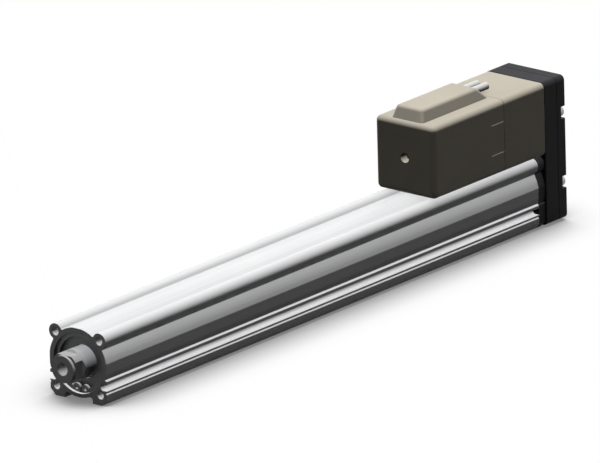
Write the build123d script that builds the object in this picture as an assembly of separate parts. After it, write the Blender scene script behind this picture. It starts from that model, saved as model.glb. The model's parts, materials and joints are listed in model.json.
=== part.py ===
from build123d import *
import os
from math import ceil, cos, floor, pi, radians, sin, sqrt

# Electric cylinder with its motor mounted above the body and a belt drive at the rear.
# Millimetres. The origin is on the rod's axis, in the plane of the front mounting face.
# +X points out of the front, the way the rod travels, and +Z points up to the motor.

# Travel and fits
stroke = 300.0
past = 1.0
running_gap = 0.04
seat_gap = 0.02
end_gap = 0.5
end_clearance = 0.5
rear_gap = 5.0

# Extruded body: a round barrel cut flat at the sides and top, with four corner bosses
body_width = 44.0
barrel_radius = 22.25
barrel_bottom_radius = 21.5
boss_radius = 5.0
mounting_pitch = 34.0
valley_fillet = 0.8
foot_drop = 2.0
foot_inner = 10.8
foot_outer = 18.0
foot_shoulder_y = 19.5
foot_shoulder_rise = 1.5
foot_side_rise = 3.9
foot_fillet = 2.0
ledge_z = 6.6
ledge_rise = 1.1
slot_z = 11.6
slot_mouth = 4.2
slot_radius = 2.2
slot_centre_y = 19.4
lip_groove_z = 15.2
lip_groove_width = 1.6
lip_groove_depth = 0.7

# Bores of the body
front_bore_radius = 19.0
bore_radius = 17.0
keyway_radius = 18.8
keyway_width = 6.0
front_hole_radius = 2.1
front_hole_depth = 8.0
front_hole_mouth = 0.45
foot_hole_radius = 2.1
foot_hole_depth = 6.5
foot_hole_pitch_y = 29.0
foot_hole_pitch_x = 76.0
foot_hole_setback = 20.0

# Front end: retaining ring, rod cover, seal, bush and bumper
ring_setback = 2.0
ring_thickness = 1.75
ring_groove_radius = 20.0
ring_inner_radius = 16.3
ear_radius = 2.8
ear_pitch_radius = 16.7
ear_offset = 3.3
ear_hole_radius = 1.1
ring_split = 1.2
ring_side_gap = 0.2
cover_recess = 5.2
cover_length = 27.8
cover_rim = 2.4
cover_lip = 1.0
lip_gap = 0.5
scraper_radius = 13.0
scraper_length = 5.0
scraper_lip = 1.6
bush_wall = 2.4
bush_length = 19.0
bumper_thickness = 4.0
bumper_radius = 16.4
bumper_wall = 5.5

# Rod and its threaded end
rod_radius = 10.0
rod_bore_radius = 6.9
rod_tip = 14.5
socket_length = 12.5
socket_nose_radius = 8.5
socket_nose_length = 2.0
flats_width = 17.0
flats_length = 6.3
flats_runout = 1.2
socket_spigot_length = 16.0
rod_thread_radius = 3.4
rod_thread_depth = 13.0
rod_thread_mouth = 0.6

# Piston group
piston_length = 18.0
piston_radius = 16.6
piston_rod_seat = 9.0
piston_web = 2.5
magnet_width = 5.5
magnet_inner_radius = 13.4
magnet_radius = 16.3
nut_flange_thickness = 4.0
nut_flange_radius = 16.0
nut_pilot_radius = 11.0
nut_radius = 12.0
stopper_length = 12.0
stopper_radius = 16.4
holder_length = 8.0
wear_ring_width = 5.0
wear_ring_wall = 1.5

# Screw, its bearing and its housing
screw_radius = 6.0
end_ring_gap = 1.0
end_ring_length = 5.0
end_ring_journal = 4.0
collar_radius = 7.0
collar_length = 6.0
collar_clearance = 2.0
housing_spigot_length = 30.0
flange_thickness = 6.5
bearing_bore_radius = 5.0
bearing_radius = 13.0
bearing_width = 8.0
bearing_ring_wall = 2.2
bearing_balls = 7
race_depth = 0.6
bearing_stopper_thickness = 4.0
bearing_stopper_hole = 9.2
bearing_recess = 1.0
spanner_hole_radius = 0.8
spanner_hole_depth = 2.0
lock_nut_radius = 7.6
lock_nut_thickness = 4.0
lock_nut_slot = 2.0
lock_nut_slot_depth = 1.2

# Return box and plate
box_corner = 3.3
box_below_rod = 22.5
box_rise = 0.25
box_depth = 12.0
box_front_wall = 3.0
shaft_opening_gap = 1.5
plate_thickness = 8.0
plate_recess = 4.5
cavity_clearance = 1.0
plate_screw_inset = 4.0
lower_plate_screw_z = 1.3
notch_radius = 4.0
notch_depth = 4.0
screw_shank_radius = 2.0
screw_head_radius = 3.5
screw_head_height = 3.8
screw_head_edge = 0.4
screw_bite = 4.0
socket_hex_radius = 1.7
socket_hex_depth = 2.0
bolt_shank_radius = 2.5
bolt_head_radius = 4.0
bolt_bite = 14.0

# Belt drive
belt_pitch = 3.0
pulley_teeth = 21
tooth_depth = 1.15
tip_below_pitch = 0.38
tooth_tip_share = 0.22
tooth_root_share = 0.34
belt_tooth_share = 0.5
belt_width = 7.4
belt_thickness = 1.0
belt_clearance = 0.15
pulley_flange = 1.0
pulley_flange_rise = 1.6
belt_side_gap = 0.3
pulley_setback = 0.8
shaft_end_radius = 4.0
key_width = 2.0
retainer_radius = 3.6
retainer_head = 1.6
retainer_floor = 0.5
retainer_shank_radius = 1.5
retainer_shank_length = 8.0

# Motor block, motor and cover
block_rise = 0.75
joint_edge = 0.3
motor_side_gap = 0.2
motor_top_gap = 0.45
cover_corner = 3.3
cover_front_fillet = 3.1
cover_wall = 1.8
inner_corner = 2.0
cover_length_x = 68.5
block_length = 39.5
block_wall = 6.0
motor_width = 42.0
motor_corner = 4.0
motor_length = 58.0
bell_length = 10.0
bell_wall = 5.0
motor_clearance = 0.15
pilot_radius = 11.0
pilot_length = 2.0
motor_bolt_inset = 5.5
motor_bolt_radius = 1.5
motor_bolt_head_radius = 2.75
motor_bolt_head = 2.8
motor_bolt_sink = 0.2
motor_bolt_gap = 0.1
motor_bolt_length = 10.0
motor_hex_radius = 1.3
motor_hex_depth = 1.6
stator_wall = 7.8
air_gap = 0.3
coil_count = 8
coil_seat = 2.0
coil_width = 5.0
coil_height = 3.4
coil_overhang = 3.6
coil_clearance = 0.8
stator_slot_depth = 4.0
stator_slot_width = 3.0
rotor_end_gap = 1.0
rotor_groove_depth = 1.5
rotor_groove_width = 2.0
shaft_radius = 3.0
motor_bearing_radius = 8.0
motor_bearing_inner = 4.6
motor_bearing_width = 4.0
encoder_disc_radius = 11.0
encoder_disc_thickness = 1.0
encoder_gap = 5.0
board_gap = 4.0
board_inset = 3.0
board_thickness = 1.6
board_hole_radius = 6.0
standoff_radius = 2.0
standoff_inset = 3.5
override_radius = 3.6
override_length = 9.0
override_slot = 1.0
override_slot_depth = 1.5
override_bite = 6.0
shaft_overrun = 6.0
access_hole_radius = 3.2
access_boss_radius = 4.8
access_boss_length = 4.0
tab_half_width = 9.65
tab_slit = 0.5
tab_length = 12.5
tongue_length = 3.5
tongue_root = 1.5
tongue_inset = 1.0
tongue_thickness = 0.8
tongue_gap = 0.1

# Cable outlet on top of the motor cover
hump_setback = 2.8
hump_base_half = 12.2
hump_top_half = 10.1
hump_height = 7.75
hump_front_rake = 2.6
hump_rear_rake = 8.8
hump_rear_setback = 1.4
hump_fillet = 2.3
hump_inner_fillet = 0.4
hump_wall = 1.3
hump_root = 0.5
cable_radius = 2.4
cable_pitch = 6.8
cable_height = 3.45
cable_end = 7.5
cable_inner = 27.0
grommet_length = 11.0
grommet_margin = 0.7
clamp_length = 6.0
clamp_width = 15.0
clamp_setback = 1.0

# Places along the axis, worked out from the lengths above
piston_stack = piston_length + nut_flange_thickness + stopper_length + holder_length
front_stack = cover_recess + cover_length + bumper_thickness
body_length = front_stack + end_gap + stroke + piston_stack + rear_gap + housing_spigot_length
x_body_rear = -body_length
x_spigot_front = x_body_rear + housing_spigot_length
x_flange_rear = x_body_rear - flange_thickness
x_box_rear = x_flange_rear - box_depth
x_plate_rear = x_box_rear - plate_thickness
x_cover_front = -cover_recess
x_cover_rear = -cover_recess - cover_length
x_scraper_front = x_cover_front - cover_lip
x_scraper_rear = x_scraper_front - scraper_length
x_bush_rear = x_scraper_rear - bush_length
x_piston_front = -front_stack - end_gap - stroke
x_piston_rear = x_piston_front - piston_length
x_nut_flange_rear = x_piston_rear - nut_flange_thickness
x_stopper_rear = x_nut_flange_rear - stopper_length
x_holder_rear = x_stopper_rear - holder_length
x_nut_pilot_front = x_piston_front - piston_rod_seat - piston_web
x_screw_tip = x_nut_pilot_front + stroke + end_ring_gap + end_ring_length
x_bearing_stopper = x_flange_rear + bearing_recess
x_bearing_rear = x_bearing_stopper + bearing_stopper_thickness
x_bearing_front = x_bearing_rear + bearing_width
x_pulley_front = x_flange_rear - box_front_wall - pulley_setback
pulley_length = belt_width + 2 * belt_side_gap + 2 * pulley_flange
x_pulley_rear = x_pulley_front - pulley_length
x_joint = x_flange_rear + block_length
x_motor_face = x_flange_rear + block_wall
x_motor_end = x_motor_face + motor_length
x_motor_cover_front = x_joint + cover_length_x
x_encoder_disc = x_motor_end + encoder_gap
x_board = x_encoder_disc + encoder_disc_thickness + board_gap
x_shaft_front = x_board + board_thickness + shaft_overrun

# Widths and heights worked out from the motor's square, the body and the belt drive
foot_height = barrel_bottom_radius + foot_drop
foot_shoulder_z = foot_height - foot_shoulder_rise
foot_side_z = foot_height - foot_side_rise
cover_width = motor_width + 2 * (cover_wall + motor_side_gap)
cover_half_height = motor_width / 2 + cover_wall + motor_top_gap
body_top = max(min(body_width / 2, barrel_radius), mounting_pitch / 2 + boss_radius)
motor_axis_z = body_top + block_rise + cover_half_height
box_width = cover_width
box_above_motor = cover_half_height + box_rise
plate_screw_y = box_width / 2 - plate_screw_inset
motor_bolt_pitch = motor_width - 2 * motor_bolt_inset
stator_bore_radius = motor_width / 2 - stator_wall
rotor_radius = stator_bore_radius - air_gap
coil_radius = stator_bore_radius + coil_seat
board_width = motor_width - 2 * board_inset
standoff_pitch = board_width - 2 * standoff_inset
pulley_tip_radius = belt_pitch * pulley_teeth / (2 * pi) - tip_below_pitch
pulley_flange_radius = pulley_tip_radius + pulley_flange_rise
belt_inner_radius = pulley_tip_radius + belt_clearance
cavity_radius = pulley_flange_radius + cavity_clearance
motor_axis = (0.0, motor_axis_z)
rod_axis = (0.0, 0.0)
nodes = {}


def across(x):
    """Plane across the cylinder at x: its own x runs along +Y and its own y along +Z."""
    return Plane(origin=(x, 0, 0), x_dir=(0, 1, 0), z_dir=(1, 0, 0))


def bar(outline, rear, front):
    """Outline drawn in Y and Z, carried from x = rear to x = front."""
    return extrude(across(rear) * outline, front - rear)


def rod(radius, rear, front, axis=rod_axis):
    return bar(Pos(*axis) * Circle(radius), rear, front)


def ring(outer, inner, rear, front, axis=rod_axis):
    return bar(Pos(*axis) * (Circle(outer) - Circle(inner)), rear, front)


def countersink(radius, depth, face, axis=rod_axis):
    """Cutter for a 45 degree mouth that widens a hole of this radius at a front face."""
    small = across(face - depth) * Pos(*axis) * Circle(radius)
    large = across(face + past) * Pos(*axis) * Circle(radius + depth + past)
    return loft([small, large])


def four_corners(pitch, axis=rod_axis):
    half = pitch / 2
    return [(axis[0] + y, axis[1] + z) for y in (-half, half) for z in (-half, half)]


def both_sides(shape):
    return shape + mirror(shape, Plane.XZ)


def keep(name, *solids):
    """Stores one named piece, which may be a group of separate like solids."""
    nodes[name] = solids[0] if len(solids) == 1 else Compound(children=list(solids))


def closest(vertices, y, z):
    return sorted(vertices, key=lambda v: (v.X - y) ** 2 + (v.Y - z) ** 2)[0]


def polar(radius, angle):
    return radius * cos(radians(angle)), radius * sin(radians(angle))


# Extruded body
def body_outline():
    """Outer section of the extrusion, without its switch slots."""
    half = body_width / 2
    boss_at = mounting_pitch / 2
    upper = Pos(0, half / 2 - ledge_z / 2) * Rectangle(body_width, half + ledge_z)
    outline = Circle(barrel_radius) & upper
    outline += Circle(barrel_bottom_radius) & Pos(0, -foot_height / 2) * Rectangle(body_width, foot_height)
    for y, z in four_corners(mounting_pitch):
        outline += Pos(y, z) * Circle(boss_radius)
    foot = [
        (foot_inner, -ledge_z - ledge_rise),
        (half, -ledge_z - ledge_rise),
        (half, -foot_side_z),
        (foot_shoulder_y, -foot_shoulder_z),
        (foot_outer, -foot_height),
        (foot_inner, -foot_height),
    ]
    ledge_y = min(half, sqrt(barrel_bottom_radius ** 2 - ledge_z ** 2))
    ledge = [(foot_inner, -ledge_z), (ledge_y, -ledge_z), (half, -ledge_z - ledge_rise)]
    ledge.append((foot_inner, -ledge_z - ledge_rise))
    for side in (1, -1):
        for corners in (foot, ledge):
            outline += make_face(Polyline([(side * y, z) for y, z in corners], close=True))
    inner_foot_z = -sqrt(barrel_bottom_radius ** 2 - foot_inner ** 2)
    inner_feet = [closest(outline.vertices(), side * foot_inner, inner_foot_z) for side in (1, -1)]
    outline = fillet(inner_feet, foot_fillet)
    reach = sqrt(2) * boss_at
    along = (barrel_radius ** 2 - boss_radius ** 2 + reach ** 2) / (2 * reach)
    beside = sqrt(barrel_radius ** 2 - along ** 2)
    near_y = (along - beside) / sqrt(2)
    near_z = (along + beside) / sqrt(2)
    valleys = []
    for y, z in ((near_y, near_z), (near_z, near_y)):
        valleys.append(closest(outline.vertices(), y, z))
        valleys.append(closest(outline.vertices(), -y, z))
    return fillet(valleys, valley_fillet)


def switch_slots():
    """The round-bottomed slots for position switches, and the thin groove below each one."""
    half = body_width / 2
    reach = half + past - slot_centre_y
    slot = Pos(slot_centre_y + reach / 2, -slot_z) * Rectangle(reach, slot_mouth)
    slot += Pos(slot_centre_y, -slot_z) * Circle(slot_radius)
    top = -lip_groove_z + lip_groove_width / 2
    groove = [(half + past, top), (half, top), (half - lip_groove_depth, -lip_groove_z)]
    groove += [(half, top - lip_groove_width), (half + past, top - lip_groove_width)]
    slot += make_face(Polyline(groove, close=True))
    return slot + mirror(slot, Plane.YZ)


def bore_outline():
    """Piston bore with a keyway at the top and the bottom."""
    keyways = Rectangle(keyway_width, 2 * keyway_radius) & Circle(keyway_radius)
    return Circle(bore_radius) + keyways


def foot_hole_places():
    places = []
    for x in (-foot_hole_setback, -foot_hole_setback - foot_hole_pitch_x):
        for y in (-foot_hole_pitch_y / 2, foot_hole_pitch_y / 2):
            places.append((x, y))
    return places


def body_tube():
    outline = body_outline() - switch_slots()
    tube = bar(outline, x_body_rear, 0)
    tube -= bar(bore_outline(), x_spigot_front - past, x_cover_rear + past)
    tube -= rod(front_bore_radius, x_cover_rear, past)
    tube -= rod(front_bore_radius, x_body_rear - past, x_spigot_front)
    groove_front = -ring_setback + seat_gap
    tube -= rod(ring_groove_radius, groove_front - ring_thickness - 2 * seat_gap, groove_front)
    for corner in four_corners(mounting_pitch):
        tube -= rod(front_hole_radius, -front_hole_depth, past, corner)
        tube -= countersink(front_hole_radius, front_hole_mouth, 0, corner)
        tube -= rod(bolt_shank_radius + seat_gap, x_body_rear - past, x_body_rear + bolt_bite, corner)
    for x, y in foot_hole_places():
        tube -= extrude(Pos(x, y, -foot_height) * Circle(foot_hole_radius), foot_hole_depth)
    return tube


# Front end
def retaining_ring():
    outline = Circle(ring_groove_radius - ring_side_gap) - Circle(ring_inner_radius)
    ear_z = -sqrt(ear_pitch_radius ** 2 - ear_offset ** 2)
    for y in (-ear_offset, ear_offset):
        ear = Pos(y, ear_z) * Circle(ear_radius)
        outline += ear & Circle(front_bore_radius - ring_side_gap)
    for y in (-ear_offset, ear_offset):
        outline -= Pos(y, ear_z) * Circle(ear_hole_radius)
    split_depth = ring_groove_radius - ear_pitch_radius + 2 * ear_radius
    outline -= Pos(0, -ring_groove_radius) * Rectangle(ring_split, 2 * split_depth)
    return bar(outline, -ring_setback - ring_thickness, -ring_setback)


def rod_cover():
    outer = front_bore_radius - seat_gap
    rim_front = -ring_setback - ring_thickness
    cover = rod(outer, x_cover_rear, x_cover_front)
    cover += ring(outer, outer - cover_rim, x_cover_front, rim_front)
    bush_radius = rod_radius + running_gap + bush_wall
    cover -= rod(scraper_radius + seat_gap, x_scraper_rear, x_scraper_front)
    cover -= rod(bush_radius + seat_gap, x_bush_rear, x_scraper_rear)
    return cover - rod(rod_radius + lip_gap, x_cover_rear - past, past)


def rod_scraper():
    """Wiper seal, with a lip that leans forward onto the rod."""
    front = x_scraper_front - seat_gap
    lip_radius = rod_radius + running_gap
    seal = ring(scraper_radius, lip_radius, x_scraper_rear, front)
    return seal - countersink(lip_radius, scraper_lip, front)


def rod_bushing():
    inner = rod_radius + running_gap
    return ring(inner + bush_wall, inner, x_bush_rear, x_scraper_rear)


def front_bumper():
    return ring(bumper_radius, bumper_radius - bumper_wall, x_cover_rear - bumper_thickness, x_cover_rear)


# Rod
def rod_socket():
    """Threaded rod end with four wrench flats and a plain nose."""
    x_joint_rod = rod_tip - socket_length
    x_nose = rod_tip - socket_nose_length
    barrel = rod(rod_radius, x_joint_rod, x_nose)
    x_flats = x_nose - flats_length
    x_runout = x_flats - flats_runout
    square = Rectangle(flats_width, flats_width)
    stock = Circle(rod_radius + past)
    barrel -= bar(stock - square, x_flats, x_nose + past)
    runout = loft([across(x_runout) * Rectangle(2 * rod_radius, 2 * rod_radius), across(x_flats) * square])
    barrel -= bar(stock, x_runout, x_flats) - runout
    socket = barrel + rod(socket_nose_radius, x_flats, rod_tip)
    socket += rod(rod_bore_radius - seat_gap, x_joint_rod - socket_spigot_length, x_joint_rod)
    socket -= rod(rod_thread_radius, rod_tip - rod_thread_depth, rod_tip + past)
    return socket - countersink(rod_thread_radius, rod_thread_mouth, rod_tip)


def piston_rod():
    rear = x_piston_front - piston_rod_seat
    return ring(rod_radius, rod_bore_radius, rear, rod_tip - socket_length)


def piston():
    body = rod(piston_radius, x_piston_rear, x_piston_front)
    step = x_piston_rear + magnet_width
    body -= ring(piston_radius + past, magnet_inner_radius, x_piston_rear - past, step)
    body -= rod(rod_radius + seat_gap, x_piston_front - piston_rod_seat, x_piston_front + past)
    body -= rod(rod_bore_radius, x_piston_rear - past, x_piston_front)
    return body - rod(nut_pilot_radius + seat_gap, x_piston_rear - past, x_nut_pilot_front)


def magnet_ring():
    rear = x_piston_rear + seat_gap
    return ring(magnet_radius, magnet_inner_radius + seat_gap, rear, x_piston_rear + magnet_width - seat_gap)


def ball_nut():
    """Flanged nut, with its pilot in the piston and its ball return caps at both ends."""
    nut = rod(nut_pilot_radius, x_piston_rear, x_nut_pilot_front - seat_gap)
    nut += rod(nut_flange_radius, x_nut_flange_rear, x_piston_rear)
    nut += rod(nut_radius, x_holder_rear, x_nut_flange_rear)
    return nut - rod(screw_radius + running_gap, x_holder_rear - past, x_piston_front)


def rotation_stopper():
    """Guide ring whose two keys run in the body's keyways and stop the rod from turning."""
    key_reach = keyway_radius - 2 * running_gap
    keys = Rectangle(keyway_width - 4 * running_gap, 2 * key_reach) & Circle(key_reach)
    outline = Circle(stopper_radius) + keys - Circle(nut_radius + seat_gap)
    return bar(outline, x_stopper_rear, x_nut_flange_rear)


def wear_ring_places():
    middle = x_stopper_rear - holder_length / 2
    return middle - wear_ring_width / 2, middle + wear_ring_width / 2


def wear_ring_holder():
    rear, front = wear_ring_places()
    holder = ring(stopper_radius, nut_radius + seat_gap, x_holder_rear, x_stopper_rear)
    seat = bore_radius - running_gap - wear_ring_wall
    return holder - ring(stopper_radius + past, seat, rear, front)


def wear_ring():
    rear, front = wear_ring_places()
    outer = bore_radius - running_gap
    return ring(outer, outer - wear_ring_wall + seat_gap, rear + seat_gap, front - seat_gap)


# Screw and bearing
def ball_screw():
    x_journal = x_screw_tip - end_ring_length
    screw = rod(screw_radius, x_bearing_front, x_journal)
    screw += rod(end_ring_journal, x_journal, x_screw_tip)
    screw += rod(collar_radius, x_bearing_front, x_bearing_front + collar_length)
    screw += rod(bearing_bore_radius, x_flange_rear, x_bearing_front)
    screw += rod(shaft_end_radius, x_pulley_rear, x_flange_rear)
    screw -= key_slot(shaft_end_radius, rod_axis)
    return screw - retainer_hole(rod_axis)


def screw_end_ring():
    """Plastic ring that guides the free end of the screw inside the hollow rod."""
    outer = rod_bore_radius - 2 * running_gap
    return ring(outer, end_ring_journal + seat_gap, x_screw_tip - end_ring_length, x_screw_tip)


def ball_radius():
    return (bearing_radius - bearing_bore_radius) / 2 - bearing_ring_wall + race_depth


def raceway(clearance):
    """Ring of round section that the balls run in."""
    middle = (bearing_radius + bearing_bore_radius) / 2
    groove = Torus(middle, ball_radius() + clearance)
    return Pos((x_bearing_rear + x_bearing_front) / 2, 0, 0) * Rot(0, 90, 0) * groove


def bearing_inner_ring():
    inner = bearing_bore_radius + seat_gap
    plain = ring(bearing_bore_radius + bearing_ring_wall, inner, x_bearing_rear, x_bearing_front - seat_gap)
    return plain - raceway(running_gap)


def bearing_outer_ring():
    outer = bearing_radius - seat_gap
    plain = ring(outer, bearing_radius - bearing_ring_wall, x_bearing_rear, x_bearing_front - seat_gap)
    return plain - raceway(running_gap)


def bearing_ball_set():
    middle = (bearing_radius + bearing_bore_radius) / 2
    x = (x_bearing_rear + x_bearing_front) / 2
    balls = []
    for index in range(bearing_balls):
        y, z = polar(middle, 360 * index / bearing_balls)
        balls.append(Pos(x, y, z) * Sphere(ball_radius()))
    return balls


def bearing_housing():
    """Bearing seat in the rear of the body, with a flange of the body's own section."""
    housing = bar(body_outline(), x_flange_rear, x_body_rear)
    housing += rod(front_bore_radius - seat_gap, x_spigot_front, x_body_rear)
    housing -= rod(bearing_radius, x_flange_rear - past, x_bearing_front)
    housing -= rod(collar_radius + collar_clearance, x_bearing_front - past, x_spigot_front + past)
    for corner in four_corners(mounting_pitch):
        housing -= rod(bolt_shank_radius + seat_gap, x_flange_rear - past, x_body_rear + past, corner)
        counterbore = x_flange_rear + screw_head_height + seat_gap
        housing -= rod(bolt_head_radius + seat_gap, x_flange_rear - past, counterbore, corner)
    for y in (-plate_screw_y, plate_screw_y):
        housing -= plate_screw_hole((y, lower_plate_screw_z))
    return housing


def bearing_stopper():
    """Threaded ring that holds the bearing's outer ring, with two pin-spanner holes."""
    plate = ring(bearing_radius - seat_gap, bearing_stopper_hole, x_bearing_stopper, x_bearing_rear)
    middle = (bearing_radius + bearing_stopper_hole) / 2
    for y in (-middle, middle):
        depth = x_bearing_stopper + spanner_hole_depth
        plate -= rod(spanner_hole_radius, x_bearing_stopper - past, depth, (y, 0))
    return plate


def lock_nut():
    """Round nut that clamps the bearing's inner ring, with four hook-spanner slots."""
    rear = x_bearing_rear - lock_nut_thickness
    outline = Circle(lock_nut_radius) - Circle(bearing_bore_radius + seat_gap)
    for angle in range(0, 360, 90):
        slot = Pos(lock_nut_radius, 0) * Rectangle(2 * lock_nut_slot_depth, lock_nut_slot)
        outline -= Rot(0, 0, angle) * slot
    return bar(outline, rear, x_bearing_rear)


# Return box and plate
def box_outline():
    height = box_below_rod + motor_axis_z + box_above_motor
    middle = (motor_axis_z + box_above_motor - box_below_rod) / 2
    return Pos(0, middle) * RectangleRounded(box_width, height, box_corner)


def cavity_outline():
    slot = SlotCenterToCenter(motor_axis_z, 2 * cavity_radius)
    return Pos(0, motor_axis_z / 2) * Rot(0, 0, 90) * slot


def plate_screw_hole(place):
    """Hole that an end plate screw is turned into, in the piece in front of the return box."""
    return rod(screw_shank_radius + seat_gap, x_flange_rear - past, x_flange_rear + screw_bite, place)


def plate_screw_places():
    return [(y, z) for y in (-plate_screw_y, plate_screw_y) for z in (lower_plate_screw_z, motor_axis_z)]


def eased(solid, *ends):
    """Breaks the outer edge of the front (1) or the rear (-1) end of a bar."""
    for end in ends:
        face = solid.faces().sort_by(Axis.X)[-1 if end > 0 else 0]
        solid = chamfer(face.outer_wire().edges(), joint_edge)
    return solid


def return_box():
    box = eased(bar(box_outline(), x_box_rear, x_flange_rear), 1, -1)
    box -= bar(cavity_outline(), x_box_rear - past, x_flange_rear - box_front_wall)
    for axis in (rod_axis, motor_axis):
        box -= rod(lock_nut_radius + shaft_opening_gap, x_box_rear, x_flange_rear + past, axis)
    for place in plate_screw_places():
        box -= rod(screw_shank_radius + seat_gap, x_box_rear - past, x_flange_rear + past, place)
    return box


def notch_outline():
    """Round-ended notch, open to the near side, that takes a screw head."""
    width = box_width / 2 - plate_screw_y + past
    return Circle(notch_radius) + Pos(width / 2, 0) * Rectangle(width, 2 * notch_radius)


def return_plate():
    plate = eased(bar(box_outline(), x_plate_rear, x_box_rear), 1, -1)
    plate -= bar(cavity_outline(), x_box_rear - plate_recess, x_box_rear + past)
    for y, z in plate_screw_places():
        turn = 0 if y > 0 else 180
        notch = Pos(y, z) * Rot(0, 0, turn) * notch_outline()
        plate -= bar(notch, x_plate_rear - past, x_plate_rear + notch_depth)
        plate -= rod(screw_shank_radius + seat_gap, x_plate_rear, x_box_rear + past, (y, z))
    return plate


def cap_screw(place, seat, length, head_radius, shank_radius):
    """Socket-head cap screw that points along +X from its seat."""
    head_end = seat - screw_head_height
    head = rod(head_radius, head_end, seat, place)
    hexagon = Pos(*place) * RegularPolygon(socket_hex_radius, 6)
    head -= bar(hexagon, head_end - past, head_end + socket_hex_depth)
    return head + rod(shank_radius, seat, seat + length, place)


def plate_screws():
    """Screws in the open notches, with a broken edge round each head."""
    seat = x_plate_rear + notch_depth
    length = x_flange_rear - seat + screw_bite - end_clearance
    screws = []
    for place in plate_screw_places():
        screw = cap_screw(place, seat, length, screw_head_radius, screw_shank_radius)
        rim = screw.edges().filter_by(GeomType.CIRCLE).group_by(Axis.X)[0]
        screws.append(chamfer(rim, screw_head_edge))
    return screws


def housing_bolts():
    seat = x_flange_rear + screw_head_height
    length = flange_thickness - screw_head_height + bolt_bite - end_clearance
    corners = four_corners(mounting_pitch)
    return [cap_screw(corner, seat, length, bolt_head_radius, bolt_shank_radius) for corner in corners]


# Belt drive
def toothed_outline(axis):
    root = pulley_tip_radius - tooth_depth
    step = 360 / pulley_teeth
    tooth = [(root, -tooth_root_share), (pulley_tip_radius, -tooth_tip_share)]
    tooth += [(pulley_tip_radius, tooth_tip_share), (root, tooth_root_share)]
    corners = []
    for index in range(pulley_teeth):
        for radius, share in tooth:
            corners.append(polar(radius, (index + share) * step))
    return Pos(*axis) * make_face(Polyline(corners, close=True))


def key_slot(radius, axis):
    """Slot for the key, half of its height in the shaft and half in the pulley."""
    width = key_width + 2 * seat_gap
    outline = Pos(axis[0], axis[1] + radius) * Rectangle(width, width)
    return bar(outline, x_pulley_rear - past, x_pulley_front)


def pulley_key(radius, axis):
    outline = Pos(axis[0], axis[1] + radius) * Rectangle(key_width, key_width)
    return bar(outline, x_pulley_rear + seat_gap, x_pulley_front - seat_gap)


def retainer_hole(axis):
    return rod(retainer_shank_radius, x_pulley_rear - past, x_pulley_rear + retainer_shank_length, axis)


def pulley_retainer(axis, bore):
    """Low-head screw and washer in one, which holds the pulley on the end of its shaft."""
    head_radius = max(retainer_radius, bore + key_width)
    head_end = x_pulley_rear - retainer_head
    head = rod(head_radius, head_end, x_pulley_rear, axis)
    hexagon = Pos(*axis) * RegularPolygon(socket_hex_radius, 6)
    head -= bar(hexagon, head_end - past, x_pulley_rear - retainer_floor)
    shank_end = x_pulley_rear + retainer_shank_length - end_clearance
    return head + rod(retainer_shank_radius - seat_gap, x_pulley_rear, shank_end, axis)


def pulley(axis, bore):
    wheel = bar(toothed_outline(axis), x_pulley_rear + pulley_flange, x_pulley_front - pulley_flange)
    wheel += rod(pulley_flange_radius, x_pulley_rear, x_pulley_rear + pulley_flange, axis)
    wheel += rod(pulley_flange_radius, x_pulley_front - pulley_flange, x_pulley_front, axis)
    wheel -= rod(bore + seat_gap, x_pulley_rear - past, x_pulley_front + past, axis)
    return wheel - key_slot(bore, axis)


def timing_belt():
    """Toothed belt. Its teeth stand on the straight runs, clear of the turning pulleys."""
    outer = SlotCenterToCenter(motor_axis_z, 2 * (belt_inner_radius + belt_thickness))
    inner = SlotCenterToCenter(motor_axis_z, 2 * belt_inner_radius)
    loop = Pos(0, motor_axis_z / 2) * Rot(0, 0, 90) * (outer - inner)
    tooth_tip = belt_inner_radius - tooth_depth
    clear_of_pulley = sqrt(max(0, pulley_tip_radius ** 2 - tooth_tip ** 2)) + belt_pitch
    first = ceil(clear_of_pulley / belt_pitch)
    last = floor((motor_axis_z - clear_of_pulley) / belt_pitch)
    reach = tooth_depth + belt_thickness / 2
    tooth = Rectangle(reach, belt_tooth_share * belt_pitch)
    for index in range(first, last + 1):
        for side in (-1, 1):
            loop += Pos(side * (tooth_tip + reach / 2), index * belt_pitch) * tooth
    middle = (x_pulley_front + x_pulley_rear) / 2
    return bar(loop, middle - belt_width / 2, middle + belt_width / 2)


# Motor
def cover_outline(inset=0.0, corner=cover_corner):
    width = cover_width - 2 * inset
    height = 2 * (cover_half_height - inset)
    return Pos(*motor_axis) * RectangleRounded(width, height, corner)


def motor_outline(width=motor_width):
    square = Rectangle(width, width)
    return Pos(*motor_axis) * chamfer(square.vertices(), motor_corner)


def tongue(gap=0.0):
    """Snap tongue on each side of the cover, which reaches into the motor block."""
    inner = cover_width / 2 - cover_wall - gap
    thickness = tongue_thickness + 2 * gap
    height = 2 * (tab_half_width - tongue_inset + gap)
    outline = Pos(inner + thickness / 2, motor_axis_z) * Rectangle(thickness, height)
    return both_sides(bar(outline, x_joint - tongue_length - gap, x_joint + tongue_root))


def motor_block():
    block = eased(bar(cover_outline(), x_flange_rear, x_joint), 1, -1)
    inner = motor_width + 2 * motor_clearance
    bay = Pos(*motor_axis) * RectangleRounded(inner, inner, inner_corner)
    block -= bar(bay, x_motor_face, x_joint + past)
    block -= rod(pilot_radius + seat_gap, x_flange_rear - past, x_motor_face + past, motor_axis)
    head_seat = x_flange_rear + motor_bolt_head + motor_bolt_sink
    for corner in four_corners(motor_bolt_pitch, motor_axis):
        block -= rod(motor_bolt_radius + motor_bolt_gap, x_flange_rear - past, x_motor_face + past, corner)
        block -= rod(motor_bolt_head_radius + motor_bolt_gap, x_flange_rear - past, head_seat, corner)
    for y in (-plate_screw_y, plate_screw_y):
        block -= plate_screw_hole((y, motor_axis_z))
    return block - tongue(tongue_gap)


def bell_pocket(rear, front):
    return rod(coil_radius + coil_height / 2 + coil_clearance, rear, front, motor_axis)


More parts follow.
